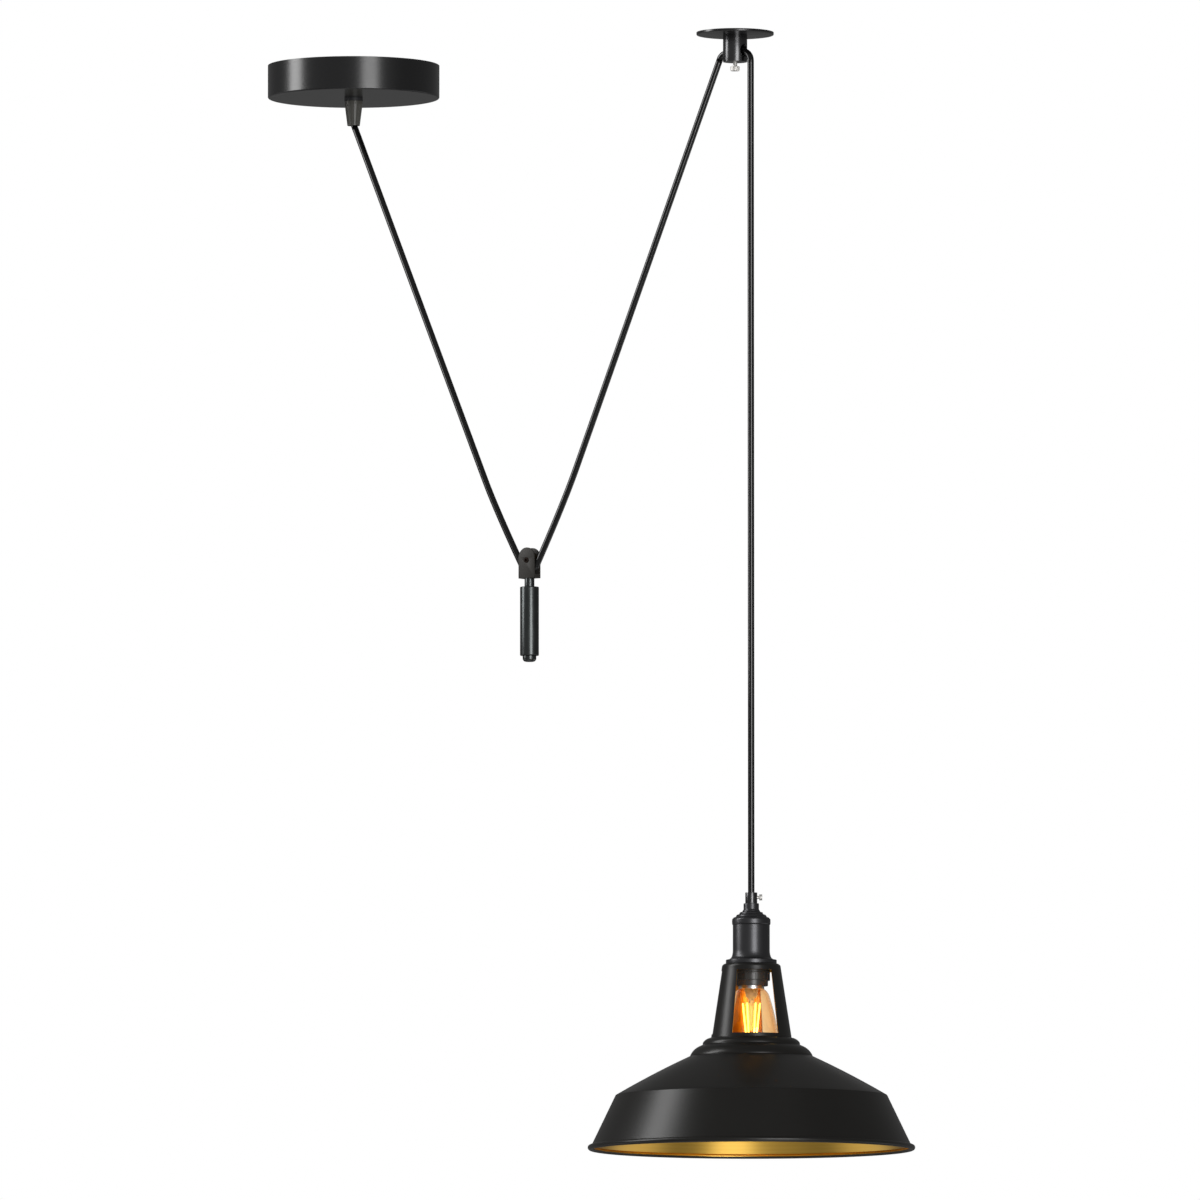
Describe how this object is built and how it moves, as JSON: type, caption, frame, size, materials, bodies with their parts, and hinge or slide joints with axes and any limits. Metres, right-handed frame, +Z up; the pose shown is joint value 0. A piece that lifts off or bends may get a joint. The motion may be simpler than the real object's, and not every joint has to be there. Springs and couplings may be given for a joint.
{
  "type": "rise and fall pendant",
  "caption": "Rise and fall pendant: a black shade on a cord that runs through a ceiling guide and a hanging counterweight to a round canopy.",
  "frame": {"origin": "centre of the guide plate's ceiling face", "axes": "+Z up, the cord hangs down along -Z, -Y is the side seen in the picture"},
  "size_m": [0.7206, 0.6118, 1.2397],
  "materials": {
    "black_paint": "satin",
    "shade_paint": "matt outside, satin gold inside",
    "fork_bronze": "fine textured",
    "dark_steel": "satin, blackened",
    "gunmetal": "gloss, blackened",
    "nickel": "polished nickel",
    "zinc_steel": "zinc plated",
    "brass": "satin",
    "grip_plastic": "matt",
    "ring_plastic": "matt",
    "socket_plastic": "semi-gloss thermoset",
    "block_plastic": "satin",
    "seal_rubber": "matt",
    "cord_fabric": "braided",
    "core_brown": "satin",
    "core_blue": "satin",
    "core_green": "satin",
    "amber_glass": "clear, tinted",
    "clear_glass": "clear",
    "bulb_glass_black": "opaque insulator",
    "filament": "coated strip",
    "bulb_wire": "bright wire",
    "bulb_metal": "satin",
    "solder": "bright"
  },
  "bodies": {
    "ceiling": {"canopy_cup": "black_paint", "mounting_bracket": "zinc_steel", "canopy_screws": "nickel", "terminal_block": "block_plastic", "terminal_block_screws": "zinc_steel", "block_fixing_screw": "zinc_steel", "earth_terminal": "brass", "cord_tail": "cord_fabric", "core_live": "core_brown", "core_neutral": "core_blue", "core_earth": "core_green", "grip_body": "grip_plastic", "grip_locknut": "grip_plastic", "grip_seal": "seal_rubber", "cord_left_run": "cord_fabric", "cord_right_run": "cord_fabric", "cord_guide_bend": "cord_fabric", "drop_cord": "cord_fabric", "guide_plate": "black_paint", "guide_tube": "gunmetal"},
    "lamp": {"grip_sleeve": "gunmetal", "nipple": "zinc_steel", "nipple_nut": "zinc_steel", "holder_cap": "black_paint", "holder_shell": "black_paint", "socket_body": "socket_plastic", "socket_terminals": "brass", "socket_terminal_screws": "zinc_steel", "contact_shell": "brass", "centre_contact": "brass", "shade_neck": "shade_paint", "shade_cone": "shade_paint", "shade_band": "shade_paint", "cord_lamp_end": "cord_fabric", "lamp_core_live": "core_brown", "lamp_core_neutral": "core_blue"},
    "counterweight": {"clevis": "fork_bronze", "axle_screw": "dark_steel", "neck_spacer": "dark_steel", "tie_rod": "zinc_steel", "weight_cylinder": "dark_steel", "weight_cap": "dark_steel", "cord_bight": "cord_fabric"},
    "sheave": {"sheave": "brass"},
    "lock_screw": {"lock_screw": "nickel"},
    "sleeve_screw": {"sleeve_screw": "nickel"},
    "shade_ring": {"shade_ring": "ring_plastic"},
    "grip_nut": {"grip_nut": "grip_plastic"},
    "bulb": {"bulb_glass": "amber_glass", "bulb_cap": "bulb_metal", "bulb_insulator": "bulb_glass_black", "bulb_tip": "solder", "bulb_stem": "clear_glass", "bulb_filaments": "filament", "filament_wires": "bulb_wire"}
  },
  "joints": [
    {"name": "lamp_height", "type": "slide", "parent": "ceiling", "child": "lamp", "axis": [0, 0, 1], "range_m": [-0.4, 0.3], "deforming": ["drop_cord"]},
    {"name": "counterweight_travel", "type": "slide", "parent": "ceiling", "child": "counterweight", "axis": [0, 0, 1], "range_m": [-0.17, 0.225], "deforming": ["cord_left_run", "cord_right_run"]},
    {"name": "sheave_spin", "type": "hinge", "parent": "counterweight", "child": "sheave", "pos_m": [-0.22802, 0.17214, -0.5715], "axis": [-0.6025, -0.7981, 0], "range_deg": [-745, 990]},
    {"name": "lock_screw_turn", "type": "hinge", "parent": "ceiling", "child": "lock_screw", "pos_m": [0, 0, -0.03785], "axis": [0, 0, 1], "range_deg": [-540, 0]},
    {"name": "sleeve_screw_turn", "type": "hinge", "parent": "lamp", "child": "sleeve_screw", "pos_m": [0.01708, -0.01289, -0.9601], "axis": [1, 0, 0], "range_deg": [0, 540]},
    {"name": "shade_ring_turn", "type": "hinge", "parent": "lamp", "child": "shade_ring", "pos_m": [0.01708, -0.01289, -1.045], "axis": [0, 0, 1], "range_deg": [-1080, 0]},
    {"name": "grip_nut_turn", "type": "hinge", "parent": "ceiling", "child": "grip_nut", "pos_m": [-0.42659, 0.32204, -0.054], "axis": [0, 0, 1], "range_deg": [-720, 0]},
    {"name": "bulb_turn", "type": "hinge", "parent": "lamp", "child": "bulb", "pos_m": [0.01708, -0.01289, -1.045], "axis": [0, 0, 1], "range_deg": [-1800, 0]}
  ],
  "couplings": [
    {"joint": "counterweight_travel", "follows": "lamp_height", "ratio": -0.56},
    {"joint": "sheave_spin", "follows": "lamp_height", "rad_per_m": -43.1}
  ]
}
